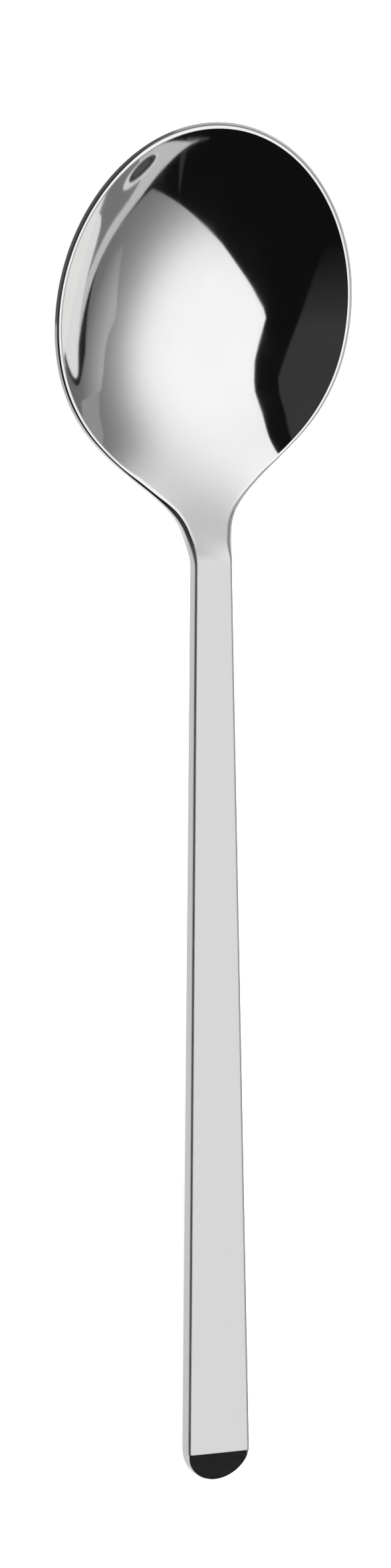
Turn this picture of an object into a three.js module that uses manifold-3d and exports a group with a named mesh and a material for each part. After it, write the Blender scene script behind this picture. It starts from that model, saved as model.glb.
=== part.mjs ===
// Dessert spoon: a pressed bowl with a neck and a tenon, a bar handle with a mortise, and the braze
// between them. Millimetres, +Z up. The spoon lies on a table at Z = 0 with its bowl towards +X, and
// Y = 0 is its plane of symmetry.
import * as THREE from 'three';
import { mergeVertices } from 'three/addons/utils/BufferGeometryUtils.js';
import Module from 'manifold-3d';

// Handle: a bar that widens and thickens from the joint to its round end
const HANDLE_LENGTH = 122;
const HANDLE_END_WIDTH = 8.5;
const HANDLE_JOINT_WIDTH = 5;
const HANDLE_END_THICKNESS = 2.9;
const HANDLE_JOINT_THICKNESS = 2.3;
const HANDLE_EDGE_RADIUS = 0.35;
const END_ROUND_LENGTH = 4.5; // how far the rounding of the end reaches along the handle
const HANDLE_SLOPE = 3.4; // degrees, rising from the table towards the bowl
const TIP_BEVEL_LENGTH = 4;
const TIP_BEVEL_DROP = 1.8;

// Joint: a tenon on the neck in a blind mortise in the handle, with filler metal between the two shoulders
const TENON_LENGTH = 10;
const TENON_WIDTH = 2.4;
const TENON_THICKNESS = 0.9;
const MORTISE_CLEARANCE = 0.25;
const BRAZE_THICKNESS = 0.25;

// Neck: as wide as the handle at the joint, nearly straight up to its waist, then flaring into the bowl
const NECK_LENGTH = 1.75;
const WAIST_WIDTH = 5.1;
const FLARE_PULL = 8.8;
const NECK_FLAT_LENGTH = 0.6; // how far the line of the handle's top runs on past the joint
const DROP_START_PULL = 1.2; // how gently the neck leaves that line
const DROP_END_PULL = 9.3; // how gently it runs into the bottom of the bowl
const DISH_FADE_LENGTH = 18.5; // from the joint, where the neck is flat across, to its full dish
const THINNING_LENGTH = 10; // from the joint to where the edge has thinned down to the rim

// Bowl: an egg in plan, widest behind its middle, with its rim in a plane that rises towards the tip
const FLARE_LENGTH = 31;
const FRONT_LENGTH = 24.7;
const RIM_WIDTH = 39.4;
const SHOULDER_PULL = 13.2;
const TIP_PULL = 11.1;
const RIM_SLOPE = 9.4; // degrees
const BOWL_DEPTH = 7.5;
const RIM_THICKNESS = 0.95;
const BOTTOM_THICKNESS = 1.4;

// Fineness of the faceted surfaces
const REAR_STEPS = 30;
const ACROSS_STEPS = 12; // from the middle to one edge
const FRONT_STEPS = 32;
const ROUND_STEPS = 24;
const EDGE_STEPS = 3;
const SOLVE_STEPS = 40;
const SETTLE_STEPS = 6; // in which the bowl comes to rest on the table

// How far a cutting block reaches past what it cuts
const CUT_MARGIN = 4;

// Finishes
const MIRROR_STEEL = { color: 0xc9cac9, roughness: 0.06, metalness: 1 };
const SATIN_STEEL = { color: 0xd2d3d1, roughness: 0.34, metalness: 1 };
const BRAZE_SILVER = { color: 0xbdb9ae, roughness: 0.3, metalness: 1 };

// Places along X, with the end of the handle at 0
const JOINT_X = HANDLE_LENGTH + BRAZE_THICKNESS;
const WAIST_X = JOINT_X + NECK_LENGTH;
const WIDEST_X = WAIST_X + FLARE_LENGTH;
const TIP_X = WIDEST_X + FRONT_LENGTH;

const wasm = await Module();
wasm.setup();

// Solids and geometries

function solidOf(geometry) {
  geometry.deleteAttribute('normal');
  geometry.deleteAttribute('uv');
  const merged = mergeVertices(geometry);
  const vertProperties = new Float32Array(merged.attributes.position.array);
  const triVerts = new Uint32Array(merged.index.array);
  return new wasm.Manifold(new wasm.Mesh({ numProp: 3, vertProperties, triVerts }));
}

function geometryOf(solid) {
  const mesh = solid.getMesh();
  const geometry = new THREE.BufferGeometry();
  geometry.setAttribute('position', new THREE.BufferAttribute(mesh.vertProperties, 3));
  geometry.setIndex(new THREE.BufferAttribute(mesh.triVerts, 1));
  geometry.computeVertexNormals();
  return geometry;
}

function pieceOf(name, solid, finish) {
  const piece = new THREE.Mesh(geometryOf(solid), new THREE.MeshStandardMaterial(finish));
  piece.name = name;
  return piece;
}

// Moves every point of a geometry through a function of its three coordinates
function reshape(geometry, move) {
  const points = geometry.attributes.position;
  for (let i = 0; i < points.count; i += 1) {
    points.setXYZ(i, ...move(points.getX(i), points.getY(i), points.getZ(i)));
  }
  return geometry;
}

// A prism with its outline in the plane of symmetry and equal halves on both sides of it
function sidePrism(outline, width) {
  const shape = new THREE.Shape(outline.map(([x, z]) => new THREE.Vector2(x, z)));
  const prism = new THREE.ExtrudeGeometry(shape, { depth: width, bevelEnabled: false });
  return prism.rotateX(Math.PI / 2).translate(0, width / 2, 0);
}

// A Bezier curve of any degree
class BezierCurve extends THREE.Curve {
  constructor(controls) {
    super();
    this.controls = controls;
  }

  getPoint(t, target = new THREE.Vector2()) {
    let points = this.controls;
    while (points.length > 1) {
      const starts = points;
      points = starts.slice(1).map((end, i) => starts[i].clone().lerp(end, t));
    }
    return target.copy(points[0]);
  }
}

// The height on a curve that always runs towards +X, at a given X
function heightOnCurve(curve, x) {
  let low = 0;
  let high = 1;
  for (let i = 0; i < SOLVE_STEPS; i += 1) {
    const middle = (low + high) / 2;
    if (curve.getPoint(middle).x < x) low = middle;
    else high = middle;
  }
  return curve.getPoint((low + high) / 2).y;
}

function curveThrough(start, startPull, endPull, end) {
  return new THREE.CubicBezierCurve(
    new THREE.Vector2(...start),
    new THREE.Vector2(start[0] + startPull[0], start[1] + startPull[1]),
    new THREE.Vector2(end[0] + endPull[0], end[1] + endPull[1]),
    new THREE.Vector2(...end),
  );
}

// The line that the handle follows

const handleRise = Math.tan(THREE.MathUtils.degToRad(HANDLE_SLOPE));

function handleTop(x) {
  return HANDLE_END_THICKNESS + x * handleRise;
}

function handleThickness(x) {
  return THREE.MathUtils.lerp(HANDLE_END_THICKNESS, HANDLE_JOINT_THICKNESS, x / HANDLE_LENGTH);
}

// Heights that were measured from the handle's top face become heights above the table
function ontoHandleLine(geometry) {
  return reshape(geometry, (x, y, z) => [x, y, z + handleTop(x)]);
}

// Handle

function handleHalfWidth(x) {
  return THREE.MathUtils.lerp(HANDLE_END_WIDTH, HANDLE_JOINT_WIDTH, x / HANDLE_LENGTH) / 2;
}

function handlePlan() {
  const farX = HANDLE_LENGTH + CUT_MARGIN;
  const roundHalf = handleHalfWidth(END_ROUND_LENGTH);
  const shape = new THREE.Shape();
  shape.moveTo(farX, -handleHalfWidth(farX));
  shape.lineTo(farX, handleHalfWidth(farX));
  shape.absellipse(END_ROUND_LENGTH, 0, END_ROUND_LENGTH, roundHalf, Math.PI / 2, Math.PI * 1.5, false);
  shape.closePath();
  return shape;
}

function handleBar() {
  const bar = new THREE.ExtrudeGeometry(handlePlan(), {
    depth: HANDLE_END_THICKNESS - 2 * HANDLE_EDGE_RADIUS,
    bevelThickness: HANDLE_EDGE_RADIUS,
    bevelSize: HANDLE_EDGE_RADIUS,
    bevelOffset: -HANDLE_EDGE_RADIUS,
    bevelSegments: EDGE_STEPS,
    curveSegments: ROUND_STEPS,
  });
  bar.translate(0, 0, HANDLE_EDGE_RADIUS - HANDLE_END_THICKNESS);
  reshape(bar, (x, y, z) => [x, y, (z * handleThickness(x)) / HANDLE_END_THICKNESS]);
  return ontoHandleLine(bar);
}

// Everything beyond the end of the handle that the neck takes over
function jointCut() {
  const endX = HANDLE_LENGTH + 2 * CUT_MARGIN;
  const low = -HANDLE_END_THICKNESS - CUT_MARGIN;
  const outline = [[HANDLE_LENGTH, low], [endX, low], [endX, CUT_MARGIN], [HANDLE_LENGTH, CUT_MARGIN]];
  return ontoHandleLine(sidePrism(outline, HANDLE_END_WIDTH + CUT_MARGIN));
}

function tipBevelCut() {
  const fall = TIP_BEVEL_DROP / TIP_BEVEL_LENGTH;
  const outline = [
    [TIP_BEVEL_LENGTH, 0],
    [TIP_BEVEL_LENGTH, CUT_MARGIN],
    [-CUT_MARGIN, CUT_MARGIN],
    [-CUT_MARGIN, -TIP_BEVEL_DROP - CUT_MARGIN * fall],
  ];
  return ontoHandleLine(sidePrism(outline, HANDLE_END_WIDTH + CUT_MARGIN));
}

// The tenon's block, or with a clearance the hollow that takes it, from a deep end to a mouth
function tenonBlock(mouthX, clearance) {
  const deepX = HANDLE_LENGTH - TENON_LENGTH - clearance;
  const middle = -HANDLE_JOINT_THICKNESS / 2;
  const half = TENON_THICKNESS / 2 + clearance;
  const outline = [
    [deepX, middle - half],
    [mouthX, middle - half],
    [mouthX, middle + half],
    [deepX, middle + half],
  ];
  return ontoHandleLine(sidePrism(outline, TENON_WIDTH + 2 * clearance));
}

function makeHandle() {
  const mortise = tenonBlock(HANDLE_LENGTH + CUT_MARGIN, MORTISE_CLEARANCE);
  const solid = solidOf(handleBar())
    .subtract(solidOf(jointCut()))
    .subtract(solidOf(tipBevelCut()))
    .subtract(solidOf(mortise));
  return pieceOf('handle', solid, SATIN_STEEL);
}

// Braze: the section of the handle at the joint, open where the tenon passes

function makeBrazeSeam() {
  const halfWidth = HANDLE_JOINT_WIDTH / 2;
  const radius = (HANDLE_EDGE_RADIUS * HANDLE_JOINT_THICKNESS) / HANDLE_END_THICKNESS;
  const shape = new THREE.Shape();
  const corners = [
    [halfWidth - radius, -radius, 0],
    [radius - halfWidth, -radius, 1],
    [radius - halfWidth, radius - HANDLE_JOINT_THICKNESS, 2],
    [halfWidth - radius, radius - HANDLE_JOINT_THICKNESS, 3],
  ];
  for (const [y, z, quarter] of corners) {
    shape.absarc(y, z, radius, (quarter * Math.PI) / 2, ((quarter + 1) * Math.PI) / 2, false);
  }
  shape.closePath();
  const frame = new THREE.ExtrudeGeometry(shape, {
    depth: BRAZE_THICKNESS,
    bevelEnabled: false,
    curveSegments: EDGE_STEPS,
  });
  const alongX = new THREE.Matrix4().makeBasis(
    new THREE.Vector3(0, 1, 0),
    new THREE.Vector3(0, 0, 1),
    new THREE.Vector3(1, 0, 0),
  );
  frame.applyMatrix4(alongX).translate(HANDLE_LENGTH, 0, 0);
  const passage = tenonBlock(JOINT_X + CUT_MARGIN, MORTISE_CLEARANCE);
  const solid = solidOf(ontoHandleLine(frame)).subtract(solidOf(passage));
  return pieceOf('braze_seam', solid, BRAZE_SILVER);
}

// Bowl: its plan

const rimHalf = RIM_WIDTH / 2;
const waistHalf = WAIST_WIDTH / 2;
// The flank leaves the widest place with the same curvature as the front
const flankPull = SHOULDER_PULL * Math.sqrt((rimHalf - waistHalf) / (rimHalf - TIP_PULL));
const widest = [WIDEST_X, rimHalf];
const flankCurve = curveThrough([WAIST_X, waistHalf], [FLARE_PULL, 0], [-flankPull, 0], widest);
const frontCurve = curveThrough(widest, [SHOULDER_PULL, 0], [0, TIP_PULL], [TIP_X, 0]);

function edgeHalfWidth(x) {
  if (x <= WAIST_X) {
    return THREE.MathUtils.mapLinear(x, JOINT_X, WAIST_X, HANDLE_JOINT_WIDTH / 2, waistHalf);
  }
  if (x <= WIDEST_X) return heightOnCurve(flankCurve, x);
  return heightOnCurve(frontCurve, x);
}

// Bowl: its heights

const rimRise = Math.tan(THREE.MathUtils.degToRad(RIM_SLOPE));
// Lift of the last control point but two, for the bend at the end of a curve of the fifth degree
const END_BEND_SHARE = 1.25;
// How fast the slope of the bowl's bottom grows at the widest place
const bottomBend = (4 * BOWL_DEPTH * (rimHalf - TIP_PULL)) / (3 * SHOULDER_PULL ** 2 * rimHalf);

// The middle of the upper face, for a rim that passes the widest place at a given height. From the handle to
// the widest place it is a curve of the fifth degree, with the slope and the bend that it meets at each end.
function middleLineFor(rimHeight) {
  const startX = JOINT_X + NECK_FLAT_LENGTH;
  const bottom = (x) => rimHeight - BOWL_DEPTH + (x - WIDEST_X) * rimRise;
  const onHandle = [0, 1, 2].map((step) => startX + step * DROP_START_PULL);
  const onBottom = [2, 1, 0].map((step) => WIDEST_X - step * DROP_END_PULL);
  const controls = [
    ...onHandle.map((x) => new THREE.Vector2(x, handleTop(x))),
    ...onBottom.map((x) => new THREE.Vector2(x, bottom(x))),
  ];
  controls[3].y += END_BEND_SHARE * bottomBend * DROP_END_PULL ** 2;
  const dropCurve = new BezierCurve(controls);
  return (x) => {
    if (x <= startX) return handleTop(x);
    if (x < WIDEST_X) return heightOnCurve(dropCurve, x);
    return bottom(x) + BOWL_DEPTH * (1 - (edgeHalfWidth(x) / rimHalf) ** 2);
  };
}

// How much of its full dish the sheet has at a place along X
function dishGrowth(x) {
  return THREE.MathUtils.smootherstep(x, JOINT_X, JOINT_X + DISH_FADE_LENGTH);
}

// How much of the full depth lies under a point: 0 at the edge and 1 at the middle of the widest place
function dishShare(x, y) {
  return (dishGrowth(x) * (edgeHalfWidth(x) ** 2 - y ** 2)) / rimHalf ** 2;
}

function sheetThickness(x, y) {
  const thinned = THREE.MathUtils.smoothstep(x, JOINT_X, JOINT_X + THINNING_LENGTH);
  const edge = THREE.MathUtils.lerp(HANDLE_JOINT_THICKNESS, RIM_THICKNESS, thinned);
  return edge + (BOTTOM_THICKNESS - RIM_THICKNESS) * Math.max(dishShare(x, y), 0);
}

// The point under a point of the upper face, square to the sheet. At the joint it lies straight below.
function undersidePoint(upper, x, y) {
  const step = 0.01;
  const slopeX = (upper(x, y) - upper(x - step, y)) / step;
  const slopeY = (upper(x, y + step / 2) - upper(x, y - step / 2)) / step;
  const turned = THREE.MathUtils.smoothstep(x, JOINT_X, WIDEST_X);
  const normal = new THREE.Vector3(-slopeX * turned, -slopeY, 1).normalize();
  const point = new THREE.Vector3(x, y, upper(x, y));
  return point.addScaledVector(normal, -sheetThickness(x, y)).toArray();
}

// The plan is a grid from the joint to the widest place and a half fan of rings from there to the tip.
// Both faces of the sheet have it, and the rim closes them.
function bowlPlan() {
  const places = [];
  const addPlace = (x, y) => places.push([x, y]) - 1;
  const rows = [];
  for (let i = 0; i <= REAR_STEPS; i += 1) {
    const x = THREE.MathUtils.lerp(JOINT_X, WIDEST_X, i / REAR_STEPS);
    const half = edgeHalfWidth(x);
    const row = [];
    for (let k = -ACROSS_STEPS; k <= ACROSS_STEPS; k += 1) row.push(addPlace(x, (half * k) / ACROSS_STEPS));
    rows.push(row);
  }
  const widestRow = rows[REAR_STEPS];
  const rings = [];
  for (let k = 1; k <= ACROSS_STEPS; k += 1) {
    const ring = [widestRow[ACROSS_STEPS + k]];
    for (let j = 1; j < FRONT_STEPS; j += 1) {
      const turn = (2 * j) / FRONT_STEPS - 1;
      const edge = frontCurve.getPoint(1 - Math.abs(turn));
      const share = k / ACROSS_STEPS;
      ring.push(addPlace(WIDEST_X + (edge.x - WIDEST_X) * share, -Math.sign(turn) * edge.y * share));
    }
    ring.push(widestRow[ACROSS_STEPS - k]);
    rings.push(ring);
  }
  const faces = [];
  for (let i = 0; i < REAR_STEPS; i += 1) {
    for (let k = 0; k < 2 * ACROSS_STEPS; k += 1) {
      faces.push([rows[i][k], rows[i + 1][k], rows[i + 1][k + 1], rows[i][k + 1]]);
    }
  }
  const middle = widestRow[ACROSS_STEPS];
  for (let j = 0; j < FRONT_STEPS; j += 1) {
    faces.push([middle, rings[0][j + 1], rings[0][j]]);
    for (let k = 1; k < ACROSS_STEPS; k += 1) {
      faces.push([rings[k - 1][j], rings[k - 1][j + 1], rings[k][j + 1], rings[k][j]]);
    }
  }
  const leftEdge = rows.slice(0, REAR_STEPS).map((row) => row[2 * ACROSS_STEPS]);
  const rightEdge = rows.slice(0, REAR_STEPS).map((row) => row[0]);
  const shoulder = rows[0].slice(1, 2 * ACROSS_STEPS);
  const front = rings[ACROSS_STEPS - 1];
  const rim = [...rightEdge, ...front.reverse(), ...leftEdge.reverse(), ...shoulder.reverse()];
  return { places, faces, rim };
}

function bowlSheet(plan, rimHeight) {
  const middleLine = middleLineFor(rimHeight);
  const upper = (x, y) => middleLine(x) + BOWL_DEPTH * dishGrowth(x) * (y / rimHalf) ** 2;
  const count = plan.places.length;
  const top = plan.places.map(([x, y]) => [x, y, upper(x, y)]);
  const bottom = plan.places.map(([x, y]) => undersidePoint(upper, x, y));
  const triangles = [];
  const addFace = (face) => {
    for (let i = 2; i < face.length; i += 1) triangles.push(face[0], face[i - 1], face[i]);
  };
  for (const face of plan.faces) {
    addFace(face);
    addFace(face.map((place) => place + count).reverse());
  }
  plan.rim.forEach((place, i) => {
    const next = plan.rim[(i + 1) % plan.rim.length];
    addFace([place + count, next + count, next, place]);
  });
  const sheet = new THREE.BufferGeometry();
  sheet.setAttribute('position', new THREE.Float32BufferAttribute([...top, ...bottom].flat(), 3));
  sheet.setIndex(triangles);
  return sheet;
}

function lowestPoint(geometry) {
  geometry.computeBoundingBox();
  return geometry.boundingBox.min.z;
}

function makeBowl() {
  const plan = bowlPlan();
  let rimHeight = BOWL_DEPTH + BOTTOM_THICKNESS;
  for (let i = 0; i < SETTLE_STEPS; i += 1) rimHeight -= lowestPoint(bowlSheet(plan, rimHeight));
  const rootX = JOINT_X + NECK_LENGTH / 2;
  const solid = solidOf(bowlSheet(plan, rimHeight)).add(solidOf(tenonBlock(rootX, 0)));
  return pieceOf('bowl', solid, MIRROR_STEEL);
}

// The origin lies on the table, under the middle of the spoon's length

const spoon = new THREE.Group();
spoon.add(makeBowl(), makeBrazeSeam(), makeHandle());
const extent = new THREE.Box3().setFromObject(spoon);
spoon.position.x = -(extent.min.x + extent.max.x) / 2;

export default spoon;
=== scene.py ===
import math
from functools import partial

import bmesh
import bpy
import numpy as np
from bpy.props import FloatProperty, FloatVectorProperty, PointerProperty
from bpy.types import Operator, Panel, PropertyGroup
from mathutils import Matrix, Vector


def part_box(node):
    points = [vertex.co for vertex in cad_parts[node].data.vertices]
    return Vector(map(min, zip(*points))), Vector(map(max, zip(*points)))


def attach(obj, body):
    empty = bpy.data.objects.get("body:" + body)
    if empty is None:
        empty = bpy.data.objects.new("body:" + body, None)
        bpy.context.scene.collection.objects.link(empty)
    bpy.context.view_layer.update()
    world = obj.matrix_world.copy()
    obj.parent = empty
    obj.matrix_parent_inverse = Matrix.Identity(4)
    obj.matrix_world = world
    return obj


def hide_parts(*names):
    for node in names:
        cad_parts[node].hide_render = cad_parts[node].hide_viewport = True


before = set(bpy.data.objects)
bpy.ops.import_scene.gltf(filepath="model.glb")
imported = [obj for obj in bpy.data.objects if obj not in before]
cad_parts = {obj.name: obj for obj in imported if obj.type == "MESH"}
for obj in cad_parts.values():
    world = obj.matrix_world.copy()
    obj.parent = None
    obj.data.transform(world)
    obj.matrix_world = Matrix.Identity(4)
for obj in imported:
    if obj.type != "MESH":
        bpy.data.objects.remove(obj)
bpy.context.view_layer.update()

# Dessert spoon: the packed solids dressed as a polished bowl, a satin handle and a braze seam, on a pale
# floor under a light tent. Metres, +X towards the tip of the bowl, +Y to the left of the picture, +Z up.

bl_info = {
    "name": "Dessert Spoon",
    "version": (1, 0, 0),
    "blender": (4, 5, 0),
    "location": "3D View > Sidebar > Spoon",
    "description": "Dresses a packed dessert spoon and stages it in a light tent",
    "category": "Object",
}

MM = 0.001
MICRON = 1e-6

# Places that the packed solids give
HANDLE_LOW, HANDLE_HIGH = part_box("handle")
_, SEAM_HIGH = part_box("braze_seam")
BOWL_LOW, BOWL_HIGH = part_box("bowl")
END_X = HANDLE_LOW.x  # the round end of the handle
FACE_X = HANDLE_HIGH.x  # the handle's face at the joint
JOINT_X = SEAM_HIGH.x  # the shoulder of the neck
TENON_X = BOWL_LOW.x  # the end of the tenon
RIM_TIP_Z = BOWL_HIGH.z  # the upper edge at the tip of the bowl

# Fineness of the meshes
NECK_ROWS = 8
FLANK_ROWS = 90
FRONT_ROWS = 60
BOWL_ACROSS = 26  # from the middle to one edge
HANDLE_ROWS = 40
END_ROWS = 24
HANDLE_ACROSS = 4  # from the middle to one edge
ROUND_STEPS = 7  # across a rounded edge
SOLVE_STEPS = 44  # halvings in the search for a place on a curve
SLOPE_STEP = 1e-5  # metres between the places that give a slope
LOWER_SLOPE_STEP = 5 * SLOPE_STEP  # the same for the underside of the sheet

# Laws of the shapes
CREASE_HALF = 0.03 * MM  # half the width of the tip facet's line
TIP_ROUND_SHARE = 0.7  # part of the tip facet that has its own rounding
NECK_OPENING = 1.5  # power of the curve along which the neck widens
END_BEND_SHARE = 5 / 4  # rise of a control point for the bend at the end of a fifth-degree curve
UPPER_ROUND_LIMIT = 0.8  # most of the thickness that an upper rounding takes
LOWER_ROUND_LIMIT = 0.18  # most of the thickness that a lower rounding takes
CORNERS = ((1, 1), (-1, 1), (-1, -1), (1, -1))  # signs across and up, round a section of the joint


def length(name, description, millimetres):
    return FloatProperty(name=name, description=description, default=millimetres * MM,
                         subtype="DISTANCE", unit="LENGTH", precision=5)


def angle(name, description, degrees):
    return FloatProperty(name=name, description=description, default=math.radians(degrees),
                         subtype="ANGLE", unit="ROTATION")


def share(name, description, default):
    return FloatProperty(name=name, description=description, default=default,
                         min=0.0, max=1.0, subtype="FACTOR")


def strength(name, description, default):
    return FloatProperty(name=name, description=description, default=default, min=0.0)


def colour(name, description, default):
    return FloatVectorProperty(name=name, description=description, default=default, size=3,
                               min=0.0, max=1.0, subtype="COLOR")


class SpoonHandleSettings(PropertyGroup):
    """Sizes of the bar handle"""

    end_width: length("End Width", "Width of the bar at its round end", 8.6)
    joint_width: length("Joint Width", "Width of the bar at the joint", 5.16)
    end_thickness: length("End Thickness", "Thickness of the bar at its round end", 2.9)
    joint_thickness: length("Joint Thickness", "Thickness of the bar at the joint", 2.3)
    end_round: length("End Round", "How far the rounding of the end reaches along the bar", 4.5)
    slope: angle("Slope", "Rise of the bar from the table towards the bowl", 3.4)
    edge_radius: length("Edge Radius", "Rounding of the long edges", 0.48)
    crown: length("Crown", "How much higher the middle of the top is than its edges", 0.04)
    crown_fade: length("Crown Fade", "Stretch before the joint over which the crown dies out", 15.0)
    bevel_length: length("Bevel Length", "Length of the polished facet at the tip", 4.0)
    bevel_drop: length("Bevel Drop", "Height that the facet takes off the tip", 1.8)
    tip_radius: length("Tip Radius", "Rounding of the facet's edge at the very tip", 0.14)
    tenon_width: length("Tenon Width", "Width of the tenon in the joint", 2.4)
    tenon_thickness: length("Tenon Thickness", "Thickness of the tenon in the joint", 0.9)
    clearance: length("Clearance", "Room round the tenon in its mortise", 0.25)


class SpoonBowlSettings(PropertyGroup):
    """Sizes of the bowl and its neck"""

    neck_length: length("Neck Length", "From the joint to the start of the flare", 4.6)
    neck_flat: length("Neck Flat", "How far the line of the handle's top runs on past the joint", 0.1)
    flare_width: length("Flare Width", "Width of the neck at the start of the flare", 6.86)
    flare_length: length("Flare Length", "From the start of the flare to the widest place", 28.15)
    flare_pull: length("Flare Pull", "How long the flare stays slim", 6.6)
    front_length: length("Front Length", "From the widest place to the tip", 24.7)
    drop_start_pull: length("Drop Start", "How gently the neck leaves the line of the handle", 1.2)
    drop_end_pull: length("Drop End", "How gently the neck runs into the bottom of the bowl", 9.3)
    dish_fade: length("Dish Fade", "From the joint to the full dish", 18.5)
    thinning: length("Thinning", "From the joint to the full thinness of the edge", 10.0)
    rim_width: length("Rim Width", "Width over the upper edge of the rim", 39.4)
    shoulder_pull: length("Shoulder Pull", "Fullness of the outline beside the widest place", 13.2)
    tip_pull: length("Tip Pull", "Bluntness of the tip", 11.1)
    rim_slope: angle("Rim Slope", "Rise of the rim towards the tip", 9.4)
    depth: length("Depth", "Depth of the dish under the rim", 7.5)
    rim_thickness: length("Rim Thickness", "Thickness of the sheet at the rim", 0.95)
    bottom_thickness: length("Bottom Thickness", "Thickness of the sheet at the bottom", 1.395)
    rim_radius: length("Rim Radius", "Rounding of the rim's edges", 0.45)
    neck_radius: length("Neck Radius", "Rounding of the neck's edges", 1.05)
    neck_round_start: length("Neck Round Start", "From the joint to the full rounding of the neck", 3.2)
    neck_round_end: length("Neck Round End", "From the joint to where the full rounding ends", 8.5)
    neck_round_fade: length("Neck Round Fade", "Stretch over which the rounding gives way to the rim", 5.0)


class SpoonFinishSettings(PropertyGroup):
    """Colours and roughness of the metals"""

    mirror_colour: colour("Mirror Colour", "Polished steel of the bowl", (0.80, 0.80, 0.795))
    mirror_roughness: share("Mirror Roughness", "Haze of the polished bowl", 0.055)
    satin_reach: length("Satin Reach", "How far the handle's satin runs on past the joint", 0.85)
    satin_fade: length("Satin Fade", "Stretch over which the satin turns into polish", 2.6)
    satin_skew: strength("Satin Skew", "How much farther the satin reaches on the left", 0.4)
    satin_colour: colour("Satin Colour", "Satin steel of the handle", (0.62, 0.622, 0.62))
    satin_roughness: share("Satin Roughness", "Spread of the satin grain", 0.32)
    bevel_colour: colour("Bevel Colour", "Polished facet of the tip", (0.76, 0.76, 0.755))
    bevel_roughness: share("Bevel Roughness", "Haze of the polished facet", 0.13)
    braze_colour: colour("Braze Colour", "Filler metal of the joint", (0.625, 0.622, 0.612))
    braze_roughness: share("Braze Roughness", "Spread of the dressed filler", 0.32)


class SpoonStageSettings(PropertyGroup):
    """Camera, floor and light tent"""

    camera_distance: length("Camera Distance", "From the middle of the spoon to the camera", 2200.0)
    camera_lean_left: angle("Lean To Left", "Lean of the view towards the picture's left side", 18.5793)
    camera_lean_tip: angle("Lean To Tip", "Lean of the view towards the tip of the bowl", 10.8381)
    camera_roll: angle("Roll", "Turn of the picture", 1.476)
    target_height: length("Target Height", "Height of the point that the view turns about", 8.0)
    aim_right: length("Aim Right", "Place of the picture's middle, to the right of that point", -2.504)
    aim_up: length("Aim Up", "Place of the picture's middle, above that point", 3.207)
    picture_height: length("Picture Height", "Height of the whole picture at the spoon", 202.086)
    air: strength("Air", "Even light that falls on the floor from all round", 2.2)
    floor_shine: strength("Floor Shine", "Brightness of the near floor in the metal", 1.2)
    floor_dim: strength("Floor Dim", "Brightness of the far floor in the metal", 0.45)
    floor_colour: colour("Floor Colour", "Matt pale floor", (0.93, 0.93, 0.93))
    floor_reach: length("Floor Reach", "Half the side of the floor", 6000.0)
    tent_radius: length("Tent Radius", "Radius of the light tent", 10000.0)
    tent_x: length("Tent Place", "Place of the tent's middle along the spoon", 60.0)
    tent_top: strength("Tent Top", "Brightness of the tent overhead", 1.125)
    room: strength("Room", "Brightness of the dark room behind the tent", 0.0055)
    wall: strength("Wall", "Brightness of the grey wall beside the tent", 0.045)


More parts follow.
